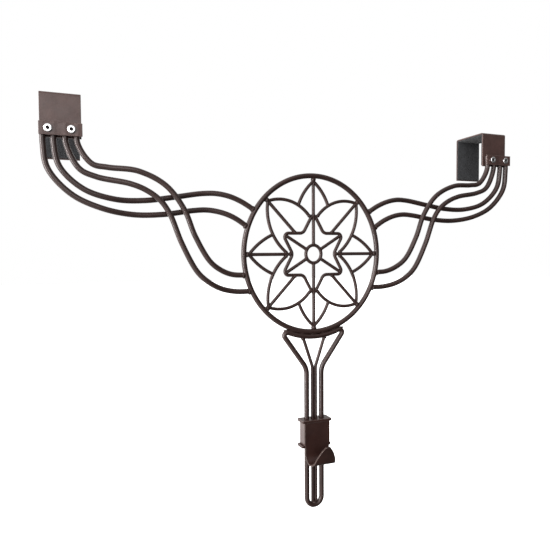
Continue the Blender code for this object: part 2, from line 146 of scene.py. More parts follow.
def bulged(a, b, rise):
    """An arc from a to b that stands off its chord by rise, to the left if positive."""
    a, b = vec(a), vec(b)
    half = (b - a).length / 2
    radius = (half * half + rise * rise) / (2 * abs(rise))
    left = Vector((-(b - a).z, 0, (b - a).x)).normalized() * math.copysign(1, rise)
    centre = (a + b) / 2 - left * (radius - abs(rise))
    start = math.degrees(math.atan2(a.z - centre.z, a.x - centre.x))
    sweep = -2 * math.degrees(math.asin(half / radius)) * math.copysign(1, rise)
    return arc((centre.x, centre.z), radius, start, start + sweep)


def rounded(points, radii, closed=False, fine=0.015):
    """Straight runs between the points, each corner rounded to its own radius."""
    p = [vec(q) for q in points]
    n = len(p)
    out = []
    for i, (q, r) in enumerate(zip(p, radii)):
        if (not closed and i in (0, n - 1)) or r <= 0:
            out.append(q)
            continue
        back, ahead = (p[i - 1] - q).normalized(), (p[(i + 1) % n] - q).normalized()
        half = back.angle(ahead) / 2
        centre = q + (back + ahead).normalized() * (r / math.sin(half))
        first = (q + back * (r / math.tan(half)) - centre).normalized()
        last = (q + ahead * (r / math.tan(half)) - centre).normalized()
        turns = max(4, math.ceil((math.pi - 2 * half) / (2 * math.acos(1 - fine / r))))
        out += [centre + first.slerp(last, k / turns) * r for k in range(turns + 1)]
    return out


def oval(path):
    """The path stretched upright, as the ring and its flower are."""
    return [Vector((p.x, p.y, p.z * OVAL)) for p in path]


def mirrored(path):
    return [Vector((-p.x, p.y, p.z)) for p in path]


# ---- materials ------------------------------------------------------------------------------
def new_material(name):
    """A material, with link, its shader, a node maker and object coordinates."""
    made = bpy.data.materials.new(name)
    made.use_nodes = True
    tree = made.node_tree
    shader = tree.nodes["Principled BSDF"]

    def add(kind, **settings):
        node = tree.nodes.new("ShaderNode" + kind)
        for key, value in settings.items():
            if key in node.inputs:
                node.inputs[key].default_value = value
            else:
                setattr(node, key, value)
        return node

    place = add("TexCoord").outputs["Object"]
    return made, tree.links.new, shader, add, place


def ramp(add, link, source, low, high, dark, light):
    """Turn source into a colour that runs from dark at low to light at high."""
    made = add("ValToRGB")
    made.color_ramp.elements[0].position = low
    made.color_ramp.elements[1].position = high
    made.color_ramp.elements[0].color = (*dark, 1)
    made.color_ramp.elements[1].color = (*light, 1)
    link(source, made.inputs["Fac"])
    return made.outputs["Color"]


def scaled(colour, k):
    return tuple(c * k for c in colour)


def powder_coat(name, base, rough=0.36, fleck=0.35, peel=0.30, coat=0.25, shine=0.5):
    """Bronze powder coat: mottled brown, fine bright flakes, a faint orange peel."""
    made, link, shader, add, place = new_material(name)
    cloud = add("TexNoise", Scale=38.0, Detail=4.0, Roughness=0.6)
    link(place, cloud.inputs["Vector"])
    body = ramp(add, link, cloud.outputs["Fac"], 0.35, 0.68,
                scaled(base, 0.80), scaled(base, 1.22))
    flakes = add("TexVoronoi", Scale=1500.0)
    link(place, flakes.inputs["Vector"])
    glints = ramp(add, link, flakes.outputs["Distance"], 0.08, 0.22,
                  (fleck, fleck, fleck), (0, 0, 0))
    mix = add("MixRGB", blend_type="ADD", Fac=0.10)
    link(body, mix.inputs["Color1"])
    link(glints, mix.inputs["Color2"])
    link(mix.outputs["Color"], shader.inputs["Base Color"])
    smudge = add("TexNoise", Scale=90.0, Detail=5.0, Roughness=0.55)
    link(place, smudge.inputs["Vector"])
    gloss = add("MapRange", **{"From Min": 0.3, "From Max": 0.7,
                               "To Min": rough - 0.07, "To Max": rough + 0.08})
    link(smudge.outputs["Fac"], gloss.inputs["Value"])
    link(gloss.outputs["Result"], shader.inputs["Roughness"])
    skin = add("TexNoise", Scale=620.0, Detail=2.0)
    link(place, skin.inputs["Vector"])
    bump = add("Bump", Strength=peel, Distance=0.00012)
    link(skin.outputs["Fac"], bump.inputs["Height"])
    link(bump.outputs["Normal"], shader.inputs["Normal"])
    shader.inputs["Metallic"].default_value = 0.15
    shader.inputs["Specular IOR Level"].default_value = shine
    shader.inputs["Coat Weight"].default_value = coat
    shader.inputs["Coat Roughness"].default_value = 0.26
    return made


def foam(name, base):
    """Closed-cell foam: a dull grey with small pits."""
    made, link, shader, add, place = new_material(name)
    cells = add("TexVoronoi", Scale=900.0)
    cloud = add("TexNoise", Scale=120.0, Detail=4.0)
    link(place, cells.inputs["Vector"])
    link(place, cloud.inputs["Vector"])
    link(ramp(add, link, cloud.outputs["Fac"], 0.3, 0.7, scaled(base, 0.8),
              scaled(base, 1.25)), shader.inputs["Base Color"])
    bump = add("Bump", Strength=0.7, Distance=0.0004)
    link(cells.outputs["Distance"], bump.inputs["Height"])
    link(bump.outputs["Normal"], shader.inputs["Normal"])
    shader.inputs["Roughness"].default_value = 0.92
    shader.inputs["Sheen Weight"].default_value = 0.15
    return made


def bright_steel(name, base, rough):
    """Tumbled rivet metal: soft scratches and slightly uneven gloss."""
    made, link, shader, add, place = new_material(name)
    scratch = add("TexNoise", Scale=1400.0, Detail=3.0, Roughness=0.7)
    cloud = add("TexNoise", Scale=350.0, Detail=3.0)
    link(place, scratch.inputs["Vector"])
    link(place, cloud.inputs["Vector"])
    link(ramp(add, link, cloud.outputs["Fac"], 0.3, 0.7, scaled(base, 0.9), base),
         shader.inputs["Base Color"])
    gloss = add("MapRange", **{"From Min": 0.3, "From Max": 0.7,
                               "To Min": rough - 0.06, "To Max": rough + 0.1})
    link(scratch.outputs["Fac"], gloss.inputs["Value"])
    link(gloss.outputs["Result"], shader.inputs["Roughness"])
    bump = add("Bump", Strength=0.25, Distance=0.00005)
    link(scratch.outputs["Fac"], bump.inputs["Height"])
    link(bump.outputs["Normal"], shader.inputs["Normal"])
    shader.inputs["Metallic"].default_value = 1.0
    return made


BRONZE = (0.070, 0.036, 0.031)
COAT_ROD = powder_coat("coat_rods", scaled(BRONZE, 0.48), rough=0.32, fleck=0.05,
                       peel=0.05, coat=0.30, shine=0.40)
COAT_WIRE = powder_coat("coat_thin_wire", scaled(BRONZE, 0.50), rough=0.40, fleck=0.05,
                        peel=0.05, coat=0.08, shine=0.40)
COAT_SHEET = powder_coat("coat_sheet", BRONZE, rough=0.42, peel=0.40)
COAT_HOOK = powder_coat("coat_hook", (0.036, 0.015, 0.012), rough=0.40, peel=0.30,
                        coat=0.10, shine=0.35)
COAT_SHELL = powder_coat("coat_slider_shell", scaled(BRONZE, 0.95), rough=0.36,
                         peel=0.25, coat=0.5)
# the coated sheets' rounded edges are painted lighter than the coat: a painted highlight, as
# if they caught the light
COAT_EDGE_HIGHLIGHT = powder_coat("coat_painted_edge_highlight", (0.115, 0.072, 0.064), rough=0.32, fleck=0.4)
# the hook's cut edges are painted lighter than its coat: a painted highlight along the edge
COAT_CUT_HIGHLIGHT = powder_coat("coat_cut_edge_painted_highlight", (0.115, 0.085, 0.072), rough=0.36, fleck=0.4)
COAT_WELD = powder_coat("coat_weld", scaled(BRONZE, 0.42), rough=0.48, fleck=0.05,
                        peel=0.5, coat=0.05, shine=0.35)
FOAM = foam("foam_lining", (0.028, 0.029, 0.032))
STEEL = bright_steel("rivet_metal", (0.86, 0.86, 0.87), 0.20)
# the rivet's dark slot: the broken mandrel's darker steel, made near-black as painted shade
# down the hole
MANDREL_AND_HOLE_SHADE = bright_steel("rivet_mandrel_and_painted_hole_shade", (0.035, 0.03, 0.03), 0.6)


# ---- makers ---------------------------------------------------------------------------------
def settle(piece, body, nodes, slot, *looks):
    """Link the piece, dress it, and let it stand for its CAD nodes on its body."""
    if piece.name not in bpy.context.scene.collection.objects:
        bpy.context.scene.collection.objects.link(piece)
    piece.data.materials.clear()
    for look in looks:
        piece.data.materials.append(look)
    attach(piece, body)
    if nodes:
        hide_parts(*nodes)
    return piece


def tube(name, path, dia, closed=False, look=COAT_ROD, nodes=None):
    """A round coated rod along a path about the ring's centre."""
    data = bpy.data.curves.new(name, "CURVE")
    data.dimensions = "3D"
    data.twist_mode = "MINIMUM"
    data.bevel_depth = dia / 2 * MM
    data.bevel_resolution = 6
    data.use_fill_caps = True
    spline = data.splines.new("POLY")
    spline.points.add(len(path) - 1)
    for point, p in zip(spline.points, path):
        point.co = (*((p + RING_AT) * MM), 1.0)
    spline.use_cyclic_u = closed
    spline.use_smooth = True
    return settle(bpy.data.objects.new(name, data), "frame", nodes, "bronze_coat", look)


def dense(path, step=1.0):
    """The same path with a point at least every step."""
    out = [path[0]]
    for a, b in zip(path, path[1:]):
        n = max(1, round((b - a).length / step))
        out += [a.lerp(b, i / n) for i in range(1, n + 1)]
    return out


def mesh_object(name, build):
    """A smooth-shaded object with the mesh that build makes."""
    data = bpy.data.meshes.new(name)
    shape = bmesh.new()
    build(shape)
    bmesh.ops.recalc_face_normals(shape, faces=shape.faces)
    shape.to_mesh(data)
    shape.free()
    data.shade_smooth()
    return bpy.data.objects.new(name, data)


def soften(piece, width, edge_slot=-1, angle=35):
    """Round the edges sharper than angle, and dress them with the edge slot, which the coated
    parts use for a painted edge highlight.
    """
    change = piece.modifiers.new("edges", "BEVEL")
    change.width = width * MM
    change.segments = 3
    change.limit_method = "ANGLE"
    change.angle_limit = math.radians(angle)
    change.material = edge_slot
    change.harden_normals = False
    piece.modifiers.new("normals", "WEIGHTED_NORMAL").keep_sharp = False


def sheet_outline(path, thick):
    """The two faces of a sheet whose centreline is the path."""
    left, right = [], []
    for i, p in enumerate(path):
        back = p - path[i - 1] if i else path[1] - p
        ahead = path[i + 1] - p if i < len(path) - 1 else back
        run = (back.normalized() + ahead.normalized()).normalized()
        reach = thick / 2 / max(0.3, run.dot(ahead.normalized()))
        side = Vector((-run.z, 0, run.x)) * reach
        left.append(p + side)
        right.append(p - side)
    return left, right


def bent_sheet(name, path, thick, span, as_point, across=2):
    """A bent sheet: path is its centreline, span the two ends of its width.

    as_point(u, v, w) turns profile coordinates u, v and a place w along the width
    into a point of the hanger, in millimetres.
    """
    left, right = sheet_outline(path, thick)
    steps = [span[0] + (span[1] - span[0]) * k / across for k in range(across + 1)]

    def build(shape):
        rows = [[[shape.verts.new(as_point(q.x, q.z, w) * MM) for w in steps]
                 for q in side] for side in (left, right)]
        for side in rows:
            for a, b in zip(side, side[1:]):
                for k in range(across):
                    shape.faces.new((a[k], a[k + 1], b[k + 1], b[k]))
        for i in (0, -1):
            for k in range(across):
                shape.faces.new((rows[0][i][k], rows[0][i][k + 1],
                                 rows[1][i][k + 1], rows[1][i][k]))
        for k in (0, across):
            for i in range(len(left) - 1):
                shape.faces.new((rows[0][i][k], rows[0][i + 1][k],
                                 rows[1][i + 1][k], rows[1][i][k]))
    return mesh_object(name, build)


def plate(name, lo, hi):
    """A flat plate from corner to corner."""
    def build(shape):
        made = bmesh.ops.create_cube(shape, size=1.0)["verts"]
        bmesh.ops.scale(shape, vec=(hi - lo) * MM, verts=made)
        bmesh.ops.translate(shape, vec=(lo + hi) / 2 * MM, verts=made)
    return mesh_object(name, build)


def turned(name, profile, at, sides=56):
    """A shape turned about +Y through at: profile is (radius, depth) from its front."""
    def build(shape):
        rows = []
        for r, depth in profile:
            rows.append([shape.verts.new(Vector((
                at.x + r * math.cos(math.tau * k / sides), at.y + depth,
                at.z + r * math.sin(math.tau * k / sides))) * MM)
                for k in range(sides if r else 1)])
        for a, b in zip(rows, rows[1:]):
            for k in range(sides):
                j = (k + 1) % sides
                ring = dict.fromkeys((a[k % len(a)], a[j % len(a)], b[j % len(b)],
                                      b[k % len(b)]))
                if len(ring) > 2:
                    shape.faces.new(list(ring))
    return mesh_object(name, build)


def beads(name, spots):
    """Weld beads in one piece: spots are (place, radius, stretch, direction)."""
    def build(shape):
        for number, (at, radius, stretch, direction) in enumerate(spots):
            made = bmesh.ops.create_icosphere(shape, subdivisions=3, radius=1.0)["verts"]
            turn = vec((direction[0], direction[1])).to_track_quat("Z", "Y").to_matrix()
            for v in made:
                lump = 1 + 0.16 * noise.noise(v.co * 1.7 + Vector((number * 3.1, 0, 0)))
                p = Vector((v.co.x, v.co.y, v.co.z * stretch)) * radius * lump
                v.co = (turn @ p + vec(at) + RING_AT) * MM
    return settle(mesh_object(name, build), "frame", None, "bronze_coat", COAT_WELD)


# ---- straps, pads, clamp strips, rivets -----------------------------------------------------
LINING_SHORT, LINING_EDGE, LINING_DENT = 1.5, 0.3, 0.10   # from the strap's foot and sides
LEGS_BELOW = -2.0                             # the lining's top stays flat above this
PRESS_DEPTH, PRESS_RIM, ROD_PRINT, RIVET_PRINT = 0.22, 1.6, 2.6, 40.0

strap_front, strap_back = strap_lo.y + STRAP_T / 2, strap_hi.y - STRAP_T / 2
strap_crown = strap_hi.z - STRAP_T / 2
front_foot, back_foot = strap_hi.z - FRONT_LEG, strap_lo.z
strap_path = dense(rounded([(strap_front, front_foot), (strap_front, strap_crown),
                            (strap_back, strap_crown), (strap_back, back_foot)],
                           [0, STRAP_BEND, STRAP_BEND, 0]), 4.0)
pad_front, pad_back = pad_lo.y + PAD_T / 2, pad_hi.y - PAD_T / 2
pad_crown = pad_hi.z - PAD_T / 2
pad_path = dense(rounded([(pad_front, front_foot + LINING_SHORT), (pad_front, pad_crown),
                          (pad_back, pad_crown), (pad_back, pad_lo.z)],
                         [0, PAD_BEND, PAD_BEND, 0]), 1.0)
RIVET_X = ((ROD_X[0] + ROD_X[1]) / 2, (ROD_X[2] + ROD_X[3]) / 2)
strip_z = (strip_lo.z + strip_hi.z) / 2
# a blind rivet's front as (radius, depth): the sunk mandrel, its hole's wall, the flange
RIVET_PROFILE = ((0.0, 1.05), (0.8, 1.0), (1.5, 1.2), (1.72, 1.35), (1.76, 0.6),
                 (1.84, 0.2), (2.0, 0.05), (2.3, 0.0), (3.2, 0.02), (3.9, 0.09),
                 (4.3, 0.22), (4.52, 0.45), (4.6, 0.75), (4.55, 1.02), (4.2, 1.1),
                 (2.0, 1.12))
MANDREL_AND_SHADE_R, SHANK_R = 1.80, 2.0


def pressed(name, lo, hi, count=(92, 28)):
    """The clamp strip, pressed on: its front sinks a little between the rods and
    round the rivets, and stands proud over each rod."""
    def front(x, z):
        x = abs(x)
        over = max(math.exp(-((x - rod) / ROD_PRINT) ** 2) for rod in ROD_X)
        seat = max(math.exp(-(((x - at) ** 2 + (z - strip_z) ** 2) / RIVET_PRINT) ** 2)
                   for at in RIVET_X)
        inside = min(1.0, (hi.z - z) / PRESS_RIM, (z - lo.z) / PRESS_RIM)
        return lo.y + PRESS_DEPTH * (1 - over * (1 - seat)) * max(0.0, inside)

    def build(shape):
        spots = [(lo.x + (hi.x - lo.x) * i / count[0], lo.z + (hi.z - lo.z) * k / count[1])
                 for i in range(count[0] + 1) for k in range(count[1] + 1)]
        faces = [[shape.verts.new(Vector((x, y(x, z), z)) * MM) for x, z in spots]
                 for y in (front, lambda x, z: hi.y)]
        tall = count[1] + 1
        for face in faces:
            for i in range(count[0]):
                for k in range(count[1]):
                    a = i * tall + k
                    shape.faces.new((face[a], face[a + 1], face[a + tall + 1],
                                     face[a + tall]))
        rim = ([i * tall for i in range(count[0])]
               + [count[0] * tall + k for k in range(count[1])]
               + [i * tall + count[1] for i in range(count[0], 0, -1)]
               + [k for k in range(count[1], 0, -1)])
        for a, b in zip(rim, rim[1:] + rim[:1]):
            shape.faces.new((faces[0][a], faces[0][b], faces[1][b], faces[1][a]))
    return mesh_object(name, build)


for side, sign in (("left", -1), ("right", 1)):
    near, far = sorted((sign * strap_lo.x, sign * strap_hi.x))
    strap = bent_sheet(side + "_strap", strap_path, STRAP_T, (near, far),
                       lambda u, v, w: Vector((w, u, v)), across=4)
    settle(strap, "frame", [side + "_bracket"], "bronze_coat", COAT_SHEET, COAT_EDGE_HIGHLIGHT)
    soften(strap, 0.28, 1)

    # foam lining: a little uneven, its edges rounded over
    lining = bent_sheet(side + "_lining", pad_path, PAD_T,
                        (near + LINING_EDGE, far - LINING_EDGE),
                        lambda u, v, w: Vector((w, u, v)), across=44)
    for v in lining.data.vertices:
        dent = LINING_DENT * noise.noise(v.co * 260.0)
        if v.co.z < LEGS_BELOW * MM:
            v.co.y -= math.copysign(1, v.co.y) * dent * MM
    settle(lining, "frame", [side + "_bracket_pad"], "foam", FOAM)
    soften(lining, 0.45)

    strip_near, strip_far = sorted((sign * strip_lo.x, sign * strip_hi.x))
    strip = pressed(side + "_clamp", Vector((strip_near, strip_lo.y, strip_lo.z)),
                    Vector((strip_far, strip_hi.y, strip_hi.z)))
    settle(strip, "frame", [side + "_clamp_strip"], "bronze_coat", COAT_SHEET, COAT_EDGE_HIGHLIGHT)
    soften(strip, 0.45, 1)

    for where, x in zip(("outer", "inner"), RIVET_X):
        lo, hi = corners(f"{side}_rivet_{where}")
        shank = [(SHANK_R, hi.y - lo.y), (0.0, hi.y - lo.y)]
        rivet = turned(f"{side}_rivet_{where}_head", [*RIVET_PROFILE, *shank],
                       Vector((sign * x, lo.y, strip_z)))
        settle(rivet, "frame", [f"{side}_rivet_{where}"], "rivet_steel", STEEL, MANDREL_AND_HOLE_SHADE)
        # faces inside the hole, its wall included, get the dark slot: the mandrel's own steel
        # plus painted shade
        for face in rivet.data.polygons:
            spot = face.center / MM
            if math.hypot(spot.x - sign * x, spot.z - strip_z) < MANDREL_AND_SHADE_R:
                face.material_index = 1

# ---- ring and arms --------------------------------------------------------------------------
ring_path = oval(arc((0, 0), RING_R, 0, 360, step=2.5))
tube("ring_rod", ring_path[:-1], ROD, closed=True, nodes=["medallion_ring"])

JOG_IN, JOG_OUT, JOG_RUNS = 112, 278, (42, 48)     # where the rods step apart to cross


def sideways(x):
    """How far a rod at x has stepped out of the ring's plane, from 0 to 1."""
    rise = max(0.0, min(1.0, (x - JOG_IN) / JOG_RUNS[0], (JOG_OUT - x) / JOG_RUNS[1]))
    return rise * rise * (3 - 2 * rise)


# each rod from its clamp to the ring: where its straight end stops, then its bends
ROUTES = (
    (124, [(329.8, 97), (305.9, 69.8), (272.9, 54.5), (236.9, 48), (200.4, 48.9),
           (164.2, 54.2), (146, 55.3), (128.1, 52.4), (111.2, 45.9), (90, 32.5)]),
    (124, [(317, 99), (292, 75.5), (258, 65.2), (222.5, 64.9), (187.4, 69.8),
           (152.4, 75.3), (134.7, 75.7), (117.3, 72.4), (100.9, 65.9), (80, 53.5)]),
    (126, [(296.4, 98.3), (278.8, 90.1), (240.3, 83), (222.1, 76.3), (206, 65.3),
           (194.5, 49.7), (179.8, 13.5), (161, -20.6), (146.5, -33.7), (129.1, -42.4),
           (110, -46.3), (86, -46.5)]),
    (126, [(282.5, 104.4), (265.3, 101), (230.2, 97.7), (198.7, 82.6), (176.8, 55.3),
           (163.3, 22.7), (145.3, -7.4), (131.5, -18.3), (115.2, -24.7), (92, -26)]),
)
CLAMP_INSET, WELD_SINK = 1.2, 1.2              # rod ends under the strip; beads in the ring
clamp_end = strip_hi.z - CLAMP_INSET - RING_AT.z
arm_welds = []
for number, (x, (straight, route)) in enumerate(zip(ROD_X, ROUTES), 1):
    path = through([(x, clamp_end), (x, straight)] + route)
    apart = (ROD + GAP) / 2 * (1 if number < 3 else -1)
    for p in path:
        p.y = apart * sideways(p.x)
    path = [p for p in path if math.hypot(p.x, p.z / OVAL) > RING_R + 0.8]
    foot = path[-1]
    for side, sign in (("left", -1), ("right", 1)):
        tube(f"{side}_arm_{number}", path if sign > 0 else mirrored(path), ROD,
             nodes=[f"{side}_wire_{number}"])
        touch = foot + foot.normalized() * (ROD / 2 - WELD_SINK)
        arm_welds.append(((sign * touch.x, touch.z), ROD / 2 + 0.55, 0.55,
                          (sign * foot.x, foot.z)))
beads("arm_welds", arm_welds)

# ---- flower ---------------------------------------------------------------------------------
LEAF_ROOTS, LEAF_RISES, LEAF_POINT = ((6.2, 48.2), (40.4, 2.8)), (9.7, 9.3), 57
PETAL_RISE, PETAL_POINT = 2.6, 42              # half of the angle between its sides
flower_welds = []


def weld(x, z, proud, stretch, toward):
    """A bead on the thin wire at x, z: proud of it, drawn out towards a direction."""
    flower_welds.append(((x, z * OVAL), THIN / 2 + proud, stretch, toward))


hub_path = arc((0, 0), HUB_R, 0, 360, step=0.8)
tube("hub_wire", oval(hub_path[:-1]), THIN, closed=True, look=COAT_WIRE, nodes=["hub_ring"])
star = []
for k in range(6):
    for radius, angle in ((STAR_TIP, 90 + 60 * k), (STAR_NOTCH, 120 + 60 * k)):
        a = math.radians(angle)
        star.append((radius * math.cos(a), radius * math.sin(a)))
star_path = rounded(star, [LOBE_R, NOTCH_R] * 6, closed=True)
tube("star_loop", oval(star_path), THIN, closed=True, look=COAT_WIRE, nodes=["star_wire"])

# where the star's wire runs: at its lobes, its flanks and its notches
lobe, flank, notch = STAR_TIP - 5.2, STAR_TIP / 2, STAR_NOTCH + 1.6
for k in range(6):
    a = math.radians(90 - 60 * k)
    inner, outer = HUB_R + 0.6, lobe - 0.6
    ends = [Vector((r * math.cos(a), 0, r * math.sin(a))) for r in (inner, outer)]
    tube(f"spoke_{k + 1}", oval(dense(ends, 4)), THIN, look=COAT_WIRE,
         nodes=[f"hub_spoke_{k + 1}"])
    for r in (HUB_R + THIN / 2 - 0.2, lobe - THIN / 2 + 0.2):
        weld(r * math.cos(a), r * math.sin(a), 0.35, 0.5, (math.cos(a), math.sin(a)))

inside = RING_R - ROD / 2 - GAP
tip = (inside - THIN / 2 / math.sin(math.radians(LEAF_POINT))) / math.sqrt(2)
leaf = (bulged(LEAF_ROOTS[0], (tip, tip), LEAF_RISES[0])
        + bulged((tip, tip), LEAF_ROOTS[1], LEAF_RISES[1])[1:])
for number, (sx, sz) in enumerate(((1, 1), (1, -1), (-1, -1), (-1, 1)), 1):
    tube(f"leaf_{number}", oval([Vector((sx * p.x, 0, sz * p.z)) for p in leaf]), THIN,
         look=COAT_WIRE, nodes=[f"diagonal_petal_{number}"])
    weld(sx * (tip + 1.3), sz * (tip + 1.3), 1.2, 0.9, (sx, sz))
    for x, z in ((6.0, 48.4), (40.2, 2.4)):
        weld(sx * x, sz * z, 0.45, 0.9, (sx * x, sz * z))
    weld(sx * (flank + 1.4), sz * (flank + 1.4), 0.4, 0.6, (sx, sz))
    tube(f"rib_{2 * number}", oval(dense([vec((sx * (tip - 1), sz * (tip - 1))),
                                          vec((sx * flank, sz * flank))], 6)), THIN,
         look=COAT_WIRE, nodes=[f"midrib_{2 * number}"])

reach = inside - THIN / 2 / math.sin(math.radians(PETAL_POINT))
# the petals: their direction, half of their width, where they start, their rib's foot
TALL, WIDE = (22.0, 62.0, lobe), (24.6, 58.6, notch)
for number, (ux, uz, (half, depth, foot_r)) in enumerate(
        ((0, 1, TALL), (1, 0, WIDE), (0, -1, TALL), (-1, 0, WIDE)), 1):
    feet = []
    for s in (-1, 1):
        foot = (ux * depth + s * uz * half, uz * depth - s * ux * half)
        feet.append(bulged((ux * reach, uz * reach), foot, s * PETAL_RISE))
        weld(*foot, 0.4, 0.7, (ux, uz))
    tube(f"petal_{number}", oval(feet[0][::-1] + feet[1][1:]), THIN, look=COAT_WIRE,
         nodes=[f"cardinal_petal_{number}"])
    tube(f"rib_{2 * number - 1}", oval(dense([vec((ux * (reach - 1), uz * (reach - 1))),
                                              vec((ux * foot_r, uz * foot_r))], 6)), THIN,
         look=COAT_WIRE, nodes=[f"midrib_{2 * number - 1}"])
    weld(ux * (reach + 2.0), uz * (reach + 2.0), 1.3, 0.9, (ux, uz))
    weld(ux * (foot_r + 2.0), uz * (foot_r + 2.0), 0.6, 1.0, (ux, uz))
beads("flower_welds", flower_welds)

# ---- stem -----------------------------------------------------------------------------------
BOW_SHORT, NECK_BEND = 6, 25.0                 # degrees from the bow's corners; bend radius
CORE_ROOT, CORE_JOIN, CORE_BEND, CORE_SHORT = 16.6, 150.0, 14.0, 2
BOW_WELDS = (-108, -99, -90, -81, -72)         # degrees round the ring

spread = math.radians(STEM_SPREAD)
shoulder = (STEM_ARC * math.sin(spread), -STEM_ARC * math.cos(spread) * OVAL)
turn_z = -(STEM_END - STEM_HALF)
bow = oval(arc((0, 0), STEM_ARC, -90 - STEM_SPREAD + BOW_SHORT,
               -90 + STEM_SPREAD - BOW_SHORT, step=2.5))
outline = ([(p.x, p.z) for p in bow]
           + [shoulder, (STEM_HALF, -STEM_NECK), (STEM_HALF, turn_z)]
           + [(STEM_HALF * math.cos(a), turn_z - STEM_HALF * math.sin(a))
              for a in (math.pi * k / 32 for k in range(1, 32))]
           + [(-STEM_HALF, turn_z), (-STEM_HALF, -STEM_NECK), (-shoulder[0], shoulder[1])])
bends = ([0] * len(bow) + [STEM_CORNER, NECK_BEND, 0] + [0] * 31
         + [0, NECK_BEND, STEM_CORNER])
stem_path = dense(rounded(outline, bends, closed=True) + [bow[0]], 6.0)[:-1]
tube("stem_rod", stem_path, ROD, closed=True, nodes=["stem_loop"])
core = rounded([(CORE_ROOT, -STEM_ARC * OVAL + 1), (CORE_HALF, -CORE_JOIN),
                (CORE_HALF, -STEM_END + CORE_SHORT)], [0, CORE_BEND, 0])
tube("core_right", dense(core, 6), THIN, look=COAT_WIRE, nodes=["stem_inner_right"])
tube("core_left", dense(mirrored(core), 6), THIN, look=COAT_WIRE, nodes=["stem_inner_left"])
low = STEM_ARC * OVAL + ROD / 2
stem_welds = [((sign * 16.2, -low + 1.0), THIN / 2 + 0.6, 0.8, (sign * 0.3, -1))
              for sign in (-1, 1)]
stem_welds.append(((0, -STEM_END + ROD / 2 + 0.6), THIN - 0.4, 0.5, (0, 1)))
for angle in BOW_WELDS:
    a = math.radians(angle)
    r = RING_R + ROD / 2 / OVAL
    stem_welds.append(((r * math.cos(a), r * math.sin(a) * OVAL), 2.1, 2.6,
                       (-math.sin(a), math.cos(a) * OVAL)))
beads("stem_welds", stem_welds)

# ---- slider and hook ------------------------------------------------------------------------
FLANGE_T = top_hi.z - top_lo.z
HOLE_CLEAR, FLANGE_CORNER = 0.5, 1.8


def drilled(name, node, lo, hi):
    """A flange with the holes that the stem's rods pass through."""
    piece = plate(name, lo, hi)
    bpy.context.scene.collection.objects.link(piece)
    at = Vector((0, SLIDE_AT.y, (lo.z + hi.z) / 2))
    radius, deep = ROD / 2 + HOLE_CLEAR, 5
    tools = []
    for hand in (-1, 1):
        def hole(shape, x=hand * STEM_HALF):
            made = bmesh.ops.create_cone(shape, cap_ends=True, segments=48,
                                         radius1=radius * MM, radius2=radius * MM,
                                         depth=2 * deep * MM)
            bmesh.ops.translate(shape, verts=made["verts"], vec=Vector((x, at.y, at.z)) * MM)
        tools.append(mesh_object(f"{name}_hole{hand}", hole))
    half = Vector((CORE_HALF + THIN / 2 + HOLE_CLEAR, THIN / 2 + HOLE_CLEAR, deep))
    tools.append(plate(name + "_slot", at - half, at + half))
    corner = piece.modifiers.new("corners", "BEVEL")
    corner.width = FLANGE_CORNER * MM
    corner.segments = 5
    corner.limit_method = "WEIGHT"
    weights = piece.data.attributes.new("bevel_weight_edge", "FLOAT", "EDGE")
    for edge in piece.data.edges:
        a, b = (piece.data.vertices[i].co for i in edge.vertices)
        weights.data[edge.index].value = float(abs(a.z - b.z) > 0.5 * MM)
    for tool in tools:
        bpy.context.scene.collection.objects.link(tool)
        change = piece.modifiers.new("cut", "BOOLEAN")
        change.operation = "DIFFERENCE"
        change.object = tool
    bpy.context.view_layer.update()
    data = bpy.data.meshes.new_from_object(
        piece.evaluated_get(bpy.context.evaluated_depsgraph_get()))
    piece.modifiers.clear()
    piece.data = data
    for tool in tools:
        bpy.data.objects.remove(tool)
    data.shade_smooth()
    settle(piece, "slider", [node], "bronze_coat", COAT_HOOK, COAT_EDGE_HIGHLIGHT)
    soften(piece, 0.3, 1)


drilled("top_flange", "slider_top_plate", top_lo, top_hi)
drilled("low_flange", "slider_bottom_plate", low_lo, low_hi)

wall_x = channel_hi.x - PLATE_T / 2
wall_y = channel_hi.y - PLATE_T / 2
channel_path = dense(rounded([(-wall_x, channel_lo.y), (-wall_x, wall_y),
                              (wall_x, wall_y), (wall_x, channel_lo.y)],
                             [0, SHELL_BEND, SHELL_BEND, 0]), 4.0)
channel = bent_sheet("slider_shell", channel_path, PLATE_T,
                     (channel_lo.z, channel_hi.z), lambda u, v, w: Vector((u, v, w)))
settle(channel, "slider", ["slider_channel"], "bronze_coat", COAT_SHELL, COAT_EDGE_HIGHLIGHT)
soften(channel, 0.3, 1)

hook_y = hook_hi.y - HOOK_T / 2 - SLIDE_AT.y
bend_at = (hook_y - HOOK_R, HOOK_LOW + HOOK_R)
to_tip = Vector((HOOK_TIP[0] - bend_at[0], HOOK_TIP[1] - bend_at[1]))
leave = math.degrees(math.atan2(to_tip.y, to_tip.x) + math.acos(HOOK_R / to_tip.length))
hook_path = dense([vec((hook_y, -FLANGE_T - GAP)), vec((hook_y, bend_at[1]))]
                  + arc(bend_at, HOOK_R, 0, leave - 360, step=0.7)[1:] + [vec(HOOK_TIP)], 0.7)
HOOK_SHOULDER, SHOULDER_RUN = 1.0, 0.8         # above its waist the plate is wider
# half of the lip's width at each height: it narrows from the bend to a rounded tip
lip = through([(HOOK_W / 2, -58), (16.7, -55), (15.2, -50), (12.8, -42.5), (8.8, -34.5),
               (4.6, -28.8), (1.9, -25.5)], step=0.5)


def half_width(p):
    """Half of the hook's width at a point of its profile."""
    if p.x > bend_at[0] - 1:
        step = max(0.0, min(1.0, (p.z - HOOK_WAIST) / SHOULDER_RUN))
        return HOOK_W / 2 + step * HOOK_SHOULDER
    a, b = min(zip(lip, lip[1:]), key=lambda ab: abs((ab[0].z + ab[1].z) / 2 - p.z))
    t = max(0.0, min(1.0, (p.z - a.z) / (b.z - a.z)))
    return min(HOOK_W / 2, a.x + (b.x - a.x) * t)


